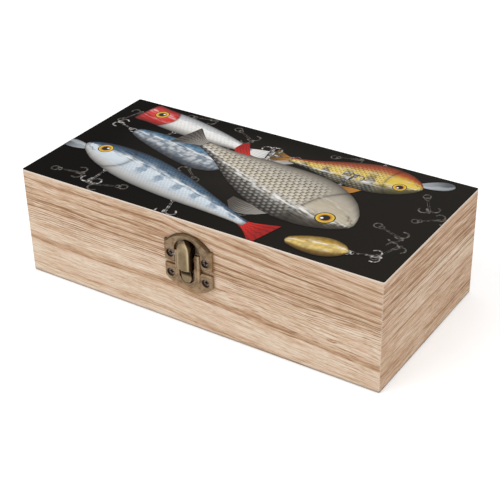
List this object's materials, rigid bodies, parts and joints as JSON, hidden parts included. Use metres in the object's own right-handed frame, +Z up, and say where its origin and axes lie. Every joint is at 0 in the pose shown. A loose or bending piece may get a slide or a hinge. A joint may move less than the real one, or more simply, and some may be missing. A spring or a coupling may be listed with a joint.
{
  "type": "hinged wooden keepsake box",
  "caption": "Mitred wooden storage box with a printed lid for fishing lures, stop hinges at the back and a sprung press latch in front.",
  "frame": {"origin": "middle of the wooden underside, which is the face that the box stands on", "axes": "+X along the length, to the right as seen from the latch; +Y from the latch to the hinges; +Z up through the lid"},
  "size_m": [0.2, 0.107, 0.0585],
  "materials": {
    "case_wood": "unfinished light wood with brown grain",
    "panel_wood": "thin unfinished plywood",
    "printed_sheet": "satin print on a thin white sheet",
    "antique_bronze": "antique bronze plating, worn on the edges",
    "bright_steel": "bright steel wire and pins",
    "dark_screws": "dark plated crosshead screws"
  },
  "bodies": {
    "base": {"body_front_board": "case_wood", "body_back_board": "case_wood", "body_left_end": "case_wood", "body_right_end": "case_wood", "bottom_panel": "panel_wood", "latch_lever_plate": "antique_bronze", "latch_pivot_pin": "bright_steel", "latch_spring": "bright_steel", "lever_plate_screws": "dark_screws", "left_hinge_body_leaf": "antique_bronze", "right_hinge_body_leaf": "antique_bronze", "left_hinge_pin": "bright_steel", "right_hinge_pin": "bright_steel", "hinge_body_screws": "dark_screws"},
    "lid": {"lid_front_rail": "case_wood", "lid_back_rail": "case_wood", "lid_left_rail": "case_wood", "lid_right_rail": "case_wood", "lid_top_panel": "panel_wood", "printed_top_sheet": "printed_sheet", "latch_strike_plate": "antique_bronze", "strike_plate_screws": "dark_screws", "left_hinge_lid_leaf": "antique_bronze", "right_hinge_lid_leaf": "antique_bronze", "hinge_lid_screws": "dark_screws"},
    "lever": {"latch_lever": "antique_bronze"}
  },
  "joints": [
    {"name": "lid_hinge", "type": "hinge", "parent": "base", "child": "lid", "pos_m": [0, 0.04985, 0.03347], "axis": [-1, 0, 0], "range_deg": [0, 105]},
    {"name": "latch_press", "type": "hinge", "parent": "base", "child": "lever", "pos_m": [0, -0.0498, 0.03997], "axis": [1, 0, 0], "range_deg": [0, 8], "stiffness_Nm_per_rad": 0.05, "springref_deg": -14.32, "deforming": ["latch_spring"]}
  ]
}
